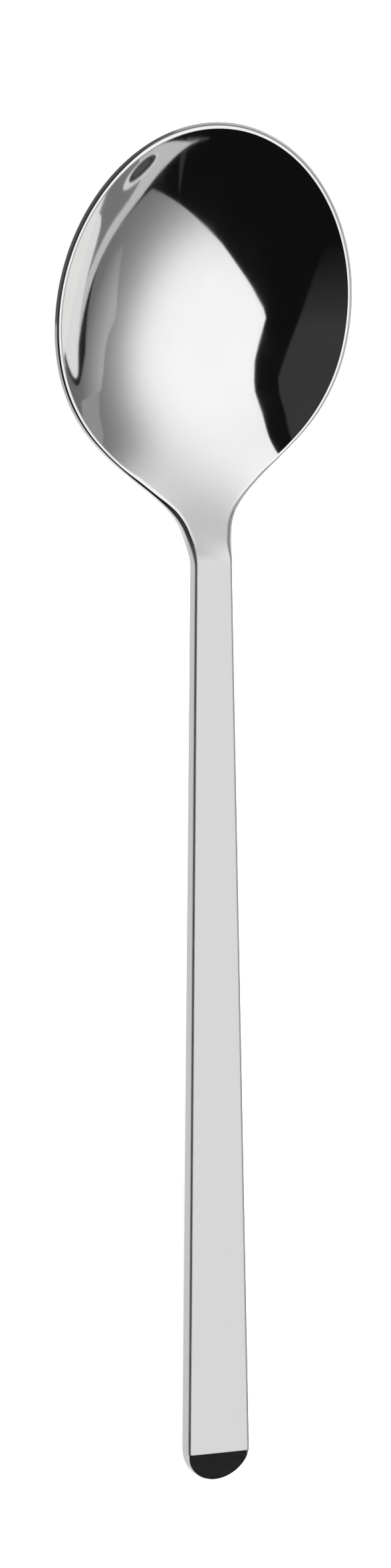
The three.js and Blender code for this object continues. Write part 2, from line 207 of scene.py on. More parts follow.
class SpoonShape:
    """The spoon's lines and faces, worked out from the settings"""

    def __init__(self, handle, bowl):
        self.handle = handle
        self.bowl = bowl
        self.handle_rise = math.tan(handle.slope)
        self.rim_rise = math.tan(bowl.rim_slope)
        self.flare_x = JOINT_X + bowl.neck_length
        self.widest_x = self.flare_x + bowl.flare_length
        self.tip_x = self.widest_x + bowl.front_length
        self.rim_half = bowl.rim_width / 2
        self.flare_half = bowl.flare_width / 2
        fullness = (self.rim_half - self.flare_half) / (self.rim_half - bowl.tip_pull)
        flank_pull = bowl.shoulder_pull * math.sqrt(fullness)
        widest = (self.widest_x, self.rim_half)
        neck_spread = NECK_OPENING * (self.flare_half - handle.joint_width / 2) / bowl.neck_length
        flare_pull = (bowl.flare_pull, bowl.flare_pull * neck_spread)
        self.flank = cubic((self.flare_x, self.flare_half), flare_pull, (-flank_pull, 0), widest)
        self.front = cubic(widest, (bowl.shoulder_pull, 0), (0, bowl.tip_pull), (self.tip_x, 0))
        self.drop_start = JOINT_X + bowl.neck_flat
        # The neck drops on a fifth-degree curve, with the slope and the bend that it meets at each end
        on_handle = self.drop_start + bowl.drop_start_pull * np.arange(3)
        on_bottom = self.widest_x - bowl.drop_end_pull * np.arange(2, -1, -1)
        self.drop = np.concatenate([np.stack([on_handle, self.handle_top(on_handle)], -1),
                                    np.stack([on_bottom, self.rim_line(on_bottom) - bowl.depth], -1)])
        # The bend of the front's bottom line at the widest place
        bottom_bend = 4 * bowl.depth * (1 - bowl.tip_pull / self.rim_half) / (3 * bowl.shoulder_pull ** 2)
        self.drop[3, 1] += END_BEND_SHARE * bottom_bend * bowl.drop_end_pull ** 2

    def handle_top(self, x):
        return self.handle.end_thickness + (x - END_X) * self.handle_rise

    def along_bar(self, x, at_end, at_joint):
        """A size of the bar that changes evenly from its round end to the joint"""
        return mix(at_end, at_joint, (x - END_X) / (FACE_X - END_X))

    def handle_thickness(self, x):
        return self.along_bar(x, self.handle.end_thickness, self.handle.joint_thickness)

    def handle_half_width(self, x):
        return self.along_bar(x, self.handle.end_width, self.handle.joint_width) / 2

    def bar_top(self, x, y):
        """Height of the handle's top with its crown and the facet at its tip"""
        fade = 1 - smoothstep(x, FACE_X - self.handle.crown_fade, FACE_X)
        crown = self.handle.crown * fade * (y / self.handle_half_width(x)) ** 2
        facet = self.handle.bevel_drop * np.maximum(1 - (x - END_X) / self.handle.bevel_length, 0)
        return self.handle_top(x) - crown - facet

    def bar_bottom(self, x, y):
        return self.handle_top(x) - self.handle_thickness(x) + 0 * y

    def rim_line(self, x):
        return RIM_TIP_Z + (x - self.tip_x) * self.rim_rise

    def neck_half_width(self, x):
        along = np.maximum(x - JOINT_X, 0) / self.bowl.neck_length
        return mix(self.handle.joint_width / 2, self.flare_half, along ** NECK_OPENING)

    def edge_half_width(self, x):
        front, flank = (partial(height_on_curve, curve) for curve in (self.front, self.flank))
        stretches = [x <= self.flare_x, x > self.widest_x]
        return np.piecewise(x, stretches, [self.neck_half_width, front, flank])

    def front_bottom(self, x):
        return self.rim_line(x) - self.bowl.depth * (self.edge_half_width(x) / self.rim_half) ** 2

    def middle_line(self, x):
        drop = partial(height_on_curve, self.drop)
        stretches = [x <= self.drop_start, x >= self.widest_x]
        return np.piecewise(x, stretches, [self.handle_top, self.front_bottom, drop])

    def dish_growth(self, x):
        """0 at the joint, where the neck is flat across, and 1 from the full dish on"""
        return smootherstep(x, JOINT_X, JOINT_X + self.bowl.dish_fade)

    def dish_share(self, x, y):
        return self.dish_growth(x) * (self.edge_half_width(x) ** 2 - y ** 2) / self.rim_half ** 2

    def upper(self, x, y):
        return self.middle_line(x) + self.bowl.depth * self.dish_growth(x) * (y / self.rim_half) ** 2

    def sheet_thickness(self, x, y):
        thinned = smoothstep(x, JOINT_X, JOINT_X + self.bowl.thinning)
        edge = mix(self.handle.joint_thickness, self.bowl.rim_thickness, thinned)
        more = self.bowl.bottom_thickness - self.bowl.rim_thickness
        return edge + more * np.maximum(self.dish_share(x, y), 0)

    def upper_point(self, x, y):
        return raised(self.upper, x, y)

    def upper_normal(self, x, y):
        return slope_normals(self.upper, x, y, -1)

    def lower_point(self, x, y):
        """The point under one of the upper face, square to the sheet, and straight below it at the joint"""
        along, across = slopes(self.upper, x, y, -1)
        turned = smoothstep(x, JOINT_X, self.widest_x)
        down = -normal_of_slopes(along * turned, across)
        return self.upper_point(x, y) + down * self.sheet_thickness(x, y)[..., None]

    def lower_normal(self, x, y):
        along = self.lower_point(x, y) - self.lower_point(x - LOWER_SLOPE_STEP, y)
        across = self.lower_point(x, y + LOWER_SLOPE_STEP) - self.lower_point(x, y - LOWER_SLOPE_STEP)
        return unit(np.cross(across, along))


def mix(first, second, part):
    return first + (second - first) * part


def unit(vectors):
    return vectors / np.linalg.norm(vectors, axis=-1, keepdims=True)


def smoothstep(value, start, end):
    part = np.clip((value - start) / (end - start), 0, 1)
    return part * part * (3 - 2 * part)


def smootherstep(value, start, end):
    """A smoothstep that also starts and ends without a bend"""
    part = np.clip((value - start) / (end - start), 0, 1)
    return part ** 3 * (part * (6 * part - 15) + 10)


def raised(height, x, y):
    """Points of a face given as heights"""
    return np.stack([x, y, height(x, y)], -1)


def slopes(height, x, y, side):
    """Slopes of a face given as heights, with the slope along X taken on one side of each place"""
    step = side * SLOPE_STEP
    along = (height(x + step, y) - height(x, y)) / step
    across = (height(x, y + SLOPE_STEP) - height(x, y - SLOPE_STEP)) / (2 * SLOPE_STEP)
    return along, across


def normal_of_slopes(along, across):
    return unit(np.stack([-along, -across, np.ones_like(along)], -1))


def slope_normals(height, x, y, side):
    return normal_of_slopes(*slopes(height, x, y, side))


def cubic(start, start_pull, end_pull, end):
    """Control points of a cubic curve from its ends and the pulls on them"""
    start, end = np.array(start), np.array(end)
    return np.array([start, start + start_pull, end + end_pull, end])


def on_curve(curve, part):
    """Points on a Bezier curve of any degree"""
    s = np.asarray(part)[..., None]
    degree = len(curve) - 1
    weights = (math.comb(degree, i) * (1 - s) ** (degree - i) * s ** i for i in range(degree + 1))
    return sum(weight * point for weight, point in zip(weights, curve))


def along_curve(curve, part):
    """Directions of a Bezier curve"""
    return unit(on_curve(np.diff(curve, axis=0), part))


def height_on_curve(curve, x):
    """Second coordinate of a curve that runs towards +X, at given places along X"""
    low = np.zeros_like(np.asarray(x, float))
    high = np.ones_like(low)
    for _ in range(SOLVE_STEPS):
        middle = (low + high) / 2
        short = on_curve(curve, middle)[..., 0] < x
        low = np.where(short, middle, low)
        high = np.where(short, high, middle)
    return on_curve(curve, (low + high) / 2)[..., 1]


class Sketch:
    """Points with their shading normals, and the faces between them"""

    def __init__(self):
        self.points = []
        self.normals = []
        self.faces = []
        self.finishes = []

    def add(self, points, normals):
        """Adds points and gives their numbers, laid out as the points are"""
        shape = points.shape[:-1]
        first = len(self.points)
        self.points += points.reshape(-1, 3).tolist()
        self.normals += np.broadcast_to(normals, points.shape).reshape(-1, 3).tolist()
        return np.arange(first, len(self.points)).reshape(shape)

    def face(self, corners, finish=0):
        self.faces.append([int(corner) for corner in corners])
        self.finishes.append(finish)

    def strip(self, first, second, finishes=None):
        """Quads between two rows of the same count"""
        for i in range(len(first) - 1):
            finish = 0 if finishes is None else finishes[i]
            self.face((first[i], second[i], second[i + 1], first[i + 1]), finish)

    def sheet(self, rows):
        for first, second in zip(rows[:-1], rows[1:]):
            self.strip(first, second)


def both_sides(left):
    """Places or directions along the left side, then their mirror images back along the right"""
    return np.concatenate([left, left[-2::-1] * (1, -1)])


def rows_across(edge, steps):
    """Places in rows from the left edge to the right, with steps from the middle to each"""
    reach = np.linspace(1, -1, 2 * steps + 1)
    return np.repeat(edge[:, 0, None], len(reach), 1), edge[:, 1, None] * reach


def limited_radii(upper, lower, thickness):
    """Upper and lower roundings that leave some of an edge straight"""
    limits = UPPER_ROUND_LIMIT * thickness, LOWER_ROUND_LIMIT * thickness
    return [np.minimum(radius, limit)[:, None] for radius, limit in zip((upper, lower), limits)]


def rounded_corner(corner, first_arm, second_arm, first_normal, second_normal):
    """Rows of points and normals round a corner, from the end of its first arm to that of its second"""
    rows = []
    for turn in np.linspace(0, math.pi / 2, ROUND_STEPS + 1):
        s, c = math.sin(turn), math.cos(turn)
        points = corner + first_arm * (1 - s) + second_arm * (1 - c)
        rows.append((points, unit(first_normal * c + second_normal * s)))
    return rows


def joint_rectangle(shape, x, clearance):
    """Corners of the tenon's section, or with a clearance of its mortise"""
    half_width = shape.handle.tenon_width / 2 + clearance
    half_height = shape.handle.tenon_thickness / 2 + clearance
    middle = shape.handle_top(x) - shape.handle.joint_thickness / 2
    return [Vector((x, y * half_width, middle + z * half_height)) for y, z in CORNERS]


def rectangle_tube(mesh, near, far, closed):
    """Four flat walls between two rectangles, closed at the far one or open. Gives the edges of both."""
    rings = [[mesh.verts.new(corner) for corner in corners] for corners in (near, far)]
    sides = [(i, (i + 1) % 4) for i in range(4)]
    for i, j in sides:
        mesh.faces.new((rings[0][i], rings[0][j], rings[1][j], rings[1][i])).smooth = False
    if closed:
        mesh.faces.new(rings[1]).smooth = False
    return [[mesh.edges.get((ring[i], ring[j])) for i, j in sides] for ring in rings]


def bridge_flat(mesh, edges):
    for face in bmesh.ops.bridge_loops(mesh, edges=edges)["faces"]:
        face.smooth = False


def piece_from(name, sketch, materials, finish_ends):
    """Makes the object of a sketch, closes its open ends and gives it the sketch's shading normals"""
    data = bpy.data.meshes.new(name)
    data.from_pydata(sketch.points, [], sketch.faces)
    for material in materials:
        data.materials.append(material)
    mesh = bmesh.new()
    mesh.from_mesh(data)
    for face, finish in zip(mesh.faces, sketch.finishes):
        face.smooth = True
        face.material_index = finish
    finish_ends(mesh)
    bmesh.ops.recalc_face_normals(mesh, faces=mesh.faces)
    mesh.to_mesh(data)
    mesh.free()
    normals = np.zeros((len(data.loops), 3))
    for polygon in data.polygons:
        if polygon.use_smooth:
            for loop in polygon.loop_indices:
                normals[loop] = sketch.normals[data.loops[loop].vertex_index]
    data.normals_split_custom_set(normals.tolist())
    piece = bpy.data.objects.new(name, data)
    bpy.context.scene.collection.objects.link(piece)
    return piece


def open_edges(mesh):
    return [edge for edge in mesh.edges if edge.is_boundary]


# Bowl


def rim_stations(shape):
    """Plan places and outward directions along the rim, from the left of the joint round the tip"""
    neck_x = np.linspace(JOINT_X, shape.flare_x, NECK_ROWS, endpoint=False)
    neck = np.stack([neck_x, shape.edge_half_width(neck_x)], -1)
    flank_parts = np.linspace(0, 1, FLANK_ROWS, endpoint=False)
    front_parts = np.linspace(0, 1, FRONT_ROWS + 1)
    left = np.concatenate([neck, on_curve(shape.flank, flank_parts), on_curve(shape.front, front_parts)])
    run = np.concatenate([np.tile((1.0, 0.0), (NECK_ROWS, 1)), along_curve(shape.flank, flank_parts),
                          along_curve(shape.front, front_parts)])
    return both_sides(left), both_sides(np.stack([-run[:, 1], run[:, 0]], -1))


def edge_radii(shape, x):
    """Upper and lower rounding along the edge of the bowl and its neck"""
    bowl = shape.bowl
    thickness = shape.sheet_thickness(x, shape.edge_half_width(x))
    begun = smoothstep(x, JOINT_X, JOINT_X + bowl.neck_round_start)
    end = JOINT_X + bowl.neck_round_end
    ended = smoothstep(x, end, end + bowl.neck_round_fade)
    upper = mix(mix(shape.handle.edge_radius, bowl.neck_radius, begun), bowl.rim_radius, ended)
    lower = mix(shape.handle.edge_radius, bowl.rim_radius, smoothstep(x, JOINT_X, end))
    return limited_radii(upper, lower, thickness)


def inset(shape, places, out, radii):
    """Places moved in from the rim by a radius measured along the sheet"""
    along, across = slopes(shape.upper, *places.T, -1)
    steepness = along * out[:, 0] + across * out[:, 1]
    return places - out * (radii / np.sqrt(1 + steepness ** 2)[:, None])


def dish_face(sketch, edge, point_of, normal_of):
    """One face of the sheet inside a line of edge places: rows up to the widest place, then a half fan to
    the tip. Gives the edge's point numbers."""
    rear = NECK_ROWS + FLANK_ROWS
    rear_places = rows_across(edge[:rear + 1], BOWL_ACROSS)
    rows = sketch.add(point_of(*rear_places), normal_of(*rear_places))
    sketch.sheet(list(rows))
    middle = np.array((edge[rear, 0], 0.0))
    front = edge[rear + 1:-rear - 1]
    centre = rows[rear, BOWL_ACROSS]
    inner = None
    for k in range(1, BOWL_ACROSS + 1):
        places = (middle + (front - middle) * (k / BOWL_ACROSS)).T
        numbers = sketch.add(point_of(*places), normal_of(*places))
        ring = np.concatenate([[rows[rear, BOWL_ACROSS - k]], numbers, [rows[rear, BOWL_ACROSS + k]]])
        if inner is None:
            for first, second in zip(ring[:-1], ring[1:]):
                sketch.face((centre, second, first))
        else:
            sketch.strip(inner, ring)
        inner = ring
    return np.concatenate([rows[:rear, 0], inner, rows[rear - 1::-1, -1]])


def make_bowl(shape, material):
    sketch = Sketch()
    places, out = rim_stations(shape)
    upper_radius, lower_radius = edge_radii(shape, places[:, 0])
    top, bottom = shape.upper_point(*places.T), shape.lower_point(*places.T)
    down = unit(bottom - top)
    run = unit(np.gradient(top, axis=0))
    cut_normal = unit(np.cross(run, down))
    cut_normal *= np.sign((cut_normal[:, :2] * out).sum(-1))[:, None]
    upper_edge = inset(shape, places, out, upper_radius)
    lower_edge = inset(shape, places, out, lower_radius)
    upper_round = rounded_corner(top, shape.upper_point(*upper_edge.T) - top, down * upper_radius,
                                 shape.upper_normal(*upper_edge.T), cut_normal)
    lower_round = rounded_corner(bottom, -down * lower_radius, shape.lower_point(*lower_edge.T) - bottom,
                                 cut_normal, shape.lower_normal(*lower_edge.T))
    rows = [dish_face(sketch, upper_edge, shape.upper_point, shape.upper_normal)]
    rows += [sketch.add(*line) for line in upper_round[1:] + lower_round[:-1]]
    rows.append(dish_face(sketch, lower_edge, shape.lower_point, shape.lower_normal))
    sketch.sheet(rows)

    def add_tenon(mesh):
        shoulder = open_edges(mesh)
        root, end = (joint_rectangle(shape, x, 0) for x in (JOINT_X, TENON_X))
        root_edges, _ = rectangle_tube(mesh, root, end, True)
        bridge_flat(mesh, shoulder + root_edges)

    return piece_from("spoon_bowl", sketch, [material], add_tenon)


# Handle


def handle_stations(shape):
    """Plan places and outward directions along the handle, from the left of the joint round the end and
    back, and the number of the first station on the tip facet"""
    handle = shape.handle
    crease = END_X + handle.bevel_length
    half = shape.handle_half_width(END_X + handle.end_round)
    straight = np.linspace(FACE_X, END_X + handle.end_round, HANDLE_ROWS)
    sides = np.stack([straight, shape.handle_half_width(straight)], -1)
    beside = np.array((crease + CREASE_HALF, crease - CREASE_HALF))
    crease_turns = np.arcsin(1 - (beside - END_X) / handle.end_round)
    turns = np.concatenate([crease_turns, np.linspace(2 * crease_turns[1], math.pi / 2, END_ROWS)])
    round_end = np.stack([END_X + handle.end_round * (1 - np.sin(turns)), half * np.cos(turns)], -1)
    out = unit(np.stack([-np.sin(turns) / handle.end_round, np.cos(turns) / half], -1))
    out[:2] = (0, 1)
    left = np.concatenate([sides, round_end])
    out = np.concatenate([np.tile((0.0, 1.0), (HANDLE_ROWS, 1)), out])
    left[-1, 1] = 0
    out[-1] = (-1, 0)
    return both_sides(left), both_sides(out), HANDLE_ROWS + 1


def bar_face(sketch, edge, height, normal_of, facet_row):
    """The handle's top or underside, in rows across from the joint to the end. Gives the edge's point
    numbers."""
    apex = len(edge) // 2
    places = rows_across(edge[:apex], HANDLE_ACROSS)
    rows = sketch.add(raised(height, *places), normal_of(*places))
    for i in range(apex - 1):
        sketch.strip(rows[i], rows[i + 1], [int(i >= facet_row)] * (2 * HANDLE_ACROSS))
    end_place = edge[apex:apex + 1].T
    end = sketch.add(raised(height, *end_place), normal_of(*end_place))
    for k in range(2 * HANDLE_ACROSS):
        sketch.face((rows[-1, k], end[0], rows[-1, k + 1]), int(apex > facet_row))
    return np.concatenate([rows[:, 0], end, rows[::-1, -1]])


def bar_radii(shape, places):
    """Upper and lower rounding along the handle's edge. The upper one gets smaller on the tip facet."""
    handle = shape.handle
    x, y = places.T
    along = smoothstep(x, END_X + TIP_ROUND_SHARE * handle.bevel_length, END_X + handle.bevel_length)
    upper = mix(handle.tip_radius, handle.edge_radius, along)
    return limited_radii(upper, handle.edge_radius, shape.bar_top(x, y) - shape.bar_bottom(x, y))


def make_handle(shape, satin, polished):
    sketch = Sketch()
    places, out, facet_row = handle_stations(shape)
    upper_radius, lower_radius = bar_radii(shape, places)
    crease = END_X + shape.handle.bevel_length
    on_top, on_bottom = partial(raised, shape.bar_top), partial(raised, shape.bar_bottom)

    def top_normal(x, y):
        return np.where((x < crease)[..., None], slope_normals(shape.bar_top, x, y, -1),
                        slope_normals(shape.bar_top, x, y, 1))

    def bottom_normal(x, y):
        return -slope_normals(shape.bar_bottom, x, y, 1)

    top, bottom = on_top(*places.T), on_bottom(*places.T)
    side = np.concatenate([out, np.zeros((len(out), 1))], -1)
    down = np.array((0, 0, -1))
    upper_edge, lower_edge = places - out * upper_radius, places - out * lower_radius
    upper_round = rounded_corner(top, on_top(*upper_edge.T) - top, down * upper_radius,
                                 top_normal(*upper_edge.T), side)
    lower_round = rounded_corner(bottom, -down * lower_radius, on_bottom(*lower_edge.T) - bottom,
                                 side, bottom_normal(*lower_edge.T))
    last = len(places) - 2
    on_facet = [int(facet_row <= i <= last - facet_row) for i in range(last + 1)]
    rows = [bar_face(sketch, upper_edge, shape.bar_top, top_normal, facet_row)]
    rows += [sketch.add(*line) for line in upper_round[1:]]
    for first, second in zip(rows[:-1], rows[1:]):
        sketch.strip(first, second, on_facet)
    lower = [rows[-1]] + [sketch.add(*line) for line in lower_round[:-1]]
    lower.append(bar_face(sketch, lower_edge, shape.bar_bottom, bottom_normal, len(places)))
    sketch.sheet(lower)

    def add_mortise(mesh):
        face_edges = open_edges(mesh)
        clearance = shape.handle.clearance
        mouth, floor = (joint_rectangle(shape, x, clearance) for x in (FACE_X, TENON_X - clearance))
        mouth_edges, _ = rectangle_tube(mesh, mouth, floor, True)
        bridge_flat(mesh, face_edges + mouth_edges)

    return piece_from("spoon_handle", sketch, [satin, polished], add_mortise)


# Braze seam


def make_braze_seam(shape, material):
    sketch = Sketch()
    handle = shape.handle
    radius = handle.edge_radius
    half_width, half_height = handle.joint_width / 2, handle.joint_thickness / 2
    loops = []
    for x in (FACE_X, JOINT_X):
        middle = shape.handle_top(x) - half_height
        points, normals = [], []
        for quarter, (y, z) in enumerate(CORNERS):
            centre = np.array((x, y * (half_width - radius), middle + z * (half_height - radius)))
            for turn in np.linspace(quarter, quarter + 1, ROUND_STEPS + 1) * (math.pi / 2):
                normals.append(np.array((0, math.cos(turn), math.sin(turn))))
                points.append(centre + radius * normals[-1])
        loops.append(sketch.add(np.array(points), np.array(normals)))
    sketch.sheet([np.append(loop, loop[0]) for loop in loops])

    def add_passage(mesh):
        ends = {False: [], True: []}
        for edge in open_edges(mesh):
            ends[edge.verts[0].co.x > (FACE_X + JOINT_X) / 2].append(edge)
        near, far = (joint_rectangle(shape, x, handle.clearance) for x in (FACE_X, JOINT_X))
        near_edges, far_edges = rectangle_tube(mesh, near, far, False)
        bridge_flat(mesh, ends[False] + near_edges)
        bridge_flat(mesh, ends[True] + far_edges)

    return piece_from("spoon_braze_seam", sketch, [material], add_passage)


# Finishes

# Noises of the metals: steps in a metre along X, Y and Z, then levels of detail
POLISH_HAZE = ((160, 220, 220), 3)
POLISH_LINES = ((500, 9000, 9000), 2)
SATIN_GRAIN = ((90, 9000, 9000), 4)
BEVEL_LINES = ((9000, 700, 9000), 3)
NOISE_RANGE = (0.3, 0.7)  # where most of a noise lies

# Shares by which the noises change roughness and colour either way
HAZE_CHANGE = 0.2
GRAIN_CHANGE = 0.15
POLISH_TINT = 0.012
SATIN_TINT = 0.03
BEVEL_TINT = 0.015
BRAZE_TINT = 0.02

# Heights of the relief that the noises raise
POLISH_RELIEF = 0.02 * MICRON
SATIN_RELIEF = 1.2 * MICRON
BEVEL_RELIEF = 0.1 * MICRON
BRAZE_RELIEF = 0.8 * MICRON


def node_material(name):
    """A new material with its nodes and its links"""
    material = bpy.data.materials.new(name)
    material.use_nodes = True
    return material, material.node_tree.nodes, material.node_tree.links


def metal(name, base, roughness):
    """A bare metal with its shader, its nodes and its links"""
    material, nodes, links = node_material(name)
    shader = nodes["Principled BSDF"]
    shader.inputs["Metallic"].default_value = 1.0
    shader.inputs["Base Color"].default_value = (*base, 1.0)
    shader.inputs["Roughness"].default_value = roughness
    return material, shader, nodes, links


def stretched_noise(nodes, links, scale, detail):
    """Noise in the spoon's own metres, with a scale for each axis"""
    coordinates = nodes.new("ShaderNodeTexCoord")
    mapping = nodes.new("ShaderNodeMapping")
    mapping.inputs["Scale"].default_value = scale
    noise = nodes.new("ShaderNodeTexNoise")
    noise.inputs["Scale"].default_value = 1.0
    noise.inputs["Detail"].default_value = detail
    links.new(coordinates.outputs["Object"], mapping.inputs["Vector"])
    links.new(mapping.outputs["Vector"], noise.inputs["Vector"])
    return noise


def place_along(nodes, links, direction):
    """How far a point of the object lies along a direction"""
    place = nodes.new("ShaderNodeVectorMath")
    place.operation = "DOT_PRODUCT"
    place.inputs[1].default_value = direction
    links.new(nodes.new("ShaderNodeTexCoord").outputs["Object"], place.inputs[0])
    return place.outputs["Value"]


def fitted(nodes, links, value, places, results):
    """A node that turns a value between two places into one between two results"""
    fit = nodes.new("ShaderNodeMapRange")
    for label, number in zip(("From Min", "From Max", "To Min", "To Max"), (*places, *results)):
        fit.inputs[label].default_value = number
    links.new(value, fit.inputs["Value"])
    return fit


def vary(nodes, links, noise, middle, change):
    """A value that a noise moves by a share either way"""
    ends = (middle * (1 - change), middle * (1 + change))
    return fitted(nodes, links, noise.outputs["Fac"], NOISE_RANGE, ends).outputs["Result"]


def tint(nodes, links, noise, base, change):
    """A colour that a noise makes deeper or lighter by a share"""
    ramp = nodes.new("ShaderNodeValToRGB")
    for stop, place, factor in zip(ramp.color_ramp.elements, NOISE_RANGE, (1 - change, 1 + change)):
        stop.position = place
        stop.color = (*[min(channel * factor, 1.0) for channel in base], 1.0)
    links.new(noise.outputs["Fac"], ramp.inputs["Fac"])
    return ramp.outputs["Color"]


def satin_share(nodes, links, finish):
    """1 at the joint, falling to 0 where the neck is fully polished"""
    place = place_along(nodes, links, (1.0, -finish.satin_skew, 0.0))
    start = JOINT_X + finish.satin_reach
    fall = fitted(nodes, links, place, (start, start + finish.satin_fade), (1.0, 0.0))
    fall.interpolation_type = "SMOOTHSTEP"
    return fall.outputs["Result"]


def blend(nodes, links, kind, part, first, second, socket):
    """Sends a socket a mix of two values or colours"""
    mixer = nodes.new("ShaderNodeMix")
    mixer.data_type = kind
    ends = [place for place in mixer.inputs if place.enabled]
    for place, value in zip(ends, (part, first, second)):
        links.new(value, place)
    links.new(next(place for place in mixer.outputs if place.enabled), socket)


def relief(nodes, links, noise, height, shader):
    """Lets a noise raise fine relief on the surface"""
    bump = nodes.new("ShaderNodeBump")
    bump.inputs["Distance"].default_value = height
    bump.inputs["Strength"].default_value = 1.0
    links.new(noise.outputs["Fac"], bump.inputs["Height"])
    links.new(bump.outputs["Normal"], shader.inputs["Normal"])


def mirror_steel(finish):
    """Polished steel: a faint haze that varies, polishing lines too fine to see one by one, and the satin of
    the handle running out on the neck"""
    material, shader, nodes, links = metal("mirror_steel", finish.mirror_colour, finish.mirror_roughness)
    haze = stretched_noise(nodes, links, *POLISH_HAZE)
    grain = stretched_noise(nodes, links, *SATIN_GRAIN)
    satin = satin_share(nodes, links, finish)
    blend(nodes, links, "FLOAT", satin, vary(nodes, links, haze, finish.mirror_roughness, HAZE_CHANGE),
          vary(nodes, links, grain, finish.satin_roughness, GRAIN_CHANGE), shader.inputs["Roughness"])
    blend(nodes, links, "RGBA", satin, tint(nodes, links, haze, finish.mirror_colour, POLISH_TINT),
          tint(nodes, links, grain, finish.satin_colour, SATIN_TINT), shader.inputs["Base Color"])
    relief(nodes, links, stretched_noise(nodes, links, *POLISH_LINES), POLISH_RELIEF, shader)
    return material


def lined_metal(name, base, roughness, lines, tint_change, height):
    """A metal whose fine lines change its roughness and colour and raise a little relief"""
    material, shader, nodes, links = metal(name, base, roughness)
    noise = stretched_noise(nodes, links, *lines)
    links.new(vary(nodes, links, noise, roughness, GRAIN_CHANGE), shader.inputs["Roughness"])
    links.new(tint(nodes, links, noise, base, tint_change), shader.inputs["Base Color"])
    relief(nodes, links, noise, height, shader)
    return material


def satin_steel(finish):
    """Satin steel: fine grain along the handle"""
    return lined_metal("satin_steel", finish.satin_colour, finish.satin_roughness,
                       SATIN_GRAIN, SATIN_TINT, SATIN_RELIEF)


def polished_bevel(finish):
    """The facet at the tip: polished across, with a little haze"""
    return lined_metal("polished_bevel", finish.bevel_colour, finish.bevel_roughness,
                       BEVEL_LINES, BEVEL_TINT, BEVEL_RELIEF)


def braze_silver(finish):
    """Filler metal: dressed flush with the grain of the handle, a little warmer"""
    return lined_metal("braze_silver", finish.braze_colour, finish.braze_roughness,
                       SATIN_GRAIN, BRAZE_TINT, BRAZE_RELIEF)


# Stage

SKY_STEP = 2.0  # degrees between the points of a sheet of the tent
ROUND_CARD_STEPS = 25
ZENITH = 89.9  # degrees up to where the tent's sheets end


def stage_object(data, material):
    """An object of the stage, named as its mesh is"""
    data.materials.append(material)
    made = bpy.data.objects.new(data.name, data)
    bpy.context.scene.collection.objects.link(made)
    return made


def only_reflected(made):
    """Shows an object in the metal and nowhere else"""
    for rays in ("camera", "diffuse", "shadow", "transmission", "volume_scatter"):
        setattr(made, "visible_" + rays, False)


def matt_floor(stage):
    material, nodes, _ = node_material("matt_floor")
    shader = nodes["Principled BSDF"]
    shader.inputs["Base Color"].default_value = (*stage.floor_colour, 1.0)
    shader.inputs["Roughness"].default_value = 1.0
    shader.inputs["Specular IOR Level"].default_value = 0.0
    return material


def glow(name, brightness):
    """An even light"""
    material, nodes, links = node_material(name)
    nodes.remove(nodes["Principled BSDF"])
    light = nodes.new("ShaderNodeEmission")
    light.inputs["Strength"].default_value = brightness
    links.new(light.outputs["Emission"], nodes["Material Output"].inputs["Surface"])
    return material


def tent_cloth(stage):
    """Cloth lit from above: brightest round its lean, and dimmer all the way down to the floor"""
    material = glow("tent_cloth", stage.tent_top)
    nodes, links = material.node_tree.nodes, material.node_tree.links
    fall = nodes.new("ShaderNodeFloatCurve")
    points = fall.mapping.curves[0].points
    points[0].location, points[1].location = TENT_FALL[0], TENT_FALL[-1]
    for place in TENT_FALL[1:-1]:
        points.new(*place)
    fall.mapping.update()
    scaled = nodes.new("ShaderNodeMath")
    scaled.operation = "MULTIPLY"
    scaled.inputs[1].default_value = stage.tent_top
    lean = sky_point(*TENT_LEAN, 1 / stage.tent_radius)
    links.new(place_along(nodes, links, lean), fall.inputs["Value"])
    links.new(fall.outputs["Value"], scaled.inputs[0])
    links.new(scaled.outputs["Value"], nodes["Emission"].inputs["Strength"])
    return material


def fading_light(name, direction, places, strengths):
    """Light that changes from one strength to another between two places along a direction"""
    material = glow(name, strengths[1])
    nodes, links = material.node_tree.nodes, material.node_tree.links
    fade = fitted(nodes, links, place_along(nodes, links, direction), places, strengths)
    links.new(fade.outputs["Result"], nodes["Emission"].inputs["Strength"])
    return material


def sky_point(azimuth, elevation, radius):
    a, e = math.radians(azimuth), math.radians(elevation)
    return Vector((math.cos(a) * math.cos(e), math.sin(a) * math.cos(e), math.sin(e))) * radius


def sky_band(name, stations, radius):
    """A piece of a sphere between two lines. Each station is an azimuth with a low and a high elevation."""
    azimuths, lows, highs = np.array(stations).T
    steps = max(2, round((azimuths[-1] - azimuths[0]) / SKY_STEP))
    around = np.union1d(azimuths, np.linspace(azimuths[0], azimuths[-1], steps))
    tall = max(1, round(np.max(highs - lows) / SKY_STEP))
    low, high = np.interp(around, azimuths, lows), np.interp(around, azimuths, highs)
    points = [sky_point(azimuth, mix(low[i], high[i], k / tall), radius)
              for i, azimuth in enumerate(around) for k in range(tall + 1)]
    row = tall + 1
    faces = [(i * row + k, (i + 1) * row + k, (i + 1) * row + k + 1, i * row + k + 1)
             for i in range(len(around) - 1) for k in range(tall)]
    data = bpy.data.meshes.new(name)
    data.from_pydata(points, [], faces)
    return data


def round_sky(name, low, high, radius):
    """A sheet all round the tent between two elevations"""
    return sky_band(name, ((-180, low, high), (180, low, high)), radius)


def round_card(azimuth, elevation, reach, height, tilt):
    """Stations of an ellipse of the given half sizes that leans by a tilt"""
    parts = np.sin(np.linspace(-math.pi / 2, math.pi / 2, ROUND_CARD_STEPS))
    middle = elevation + tilt * reach * parts
    half = height * np.sqrt(np.maximum(1 - parts ** 2, 0))
    return np.stack([azimuth + reach * parts, middle - half, middle + half], -1)


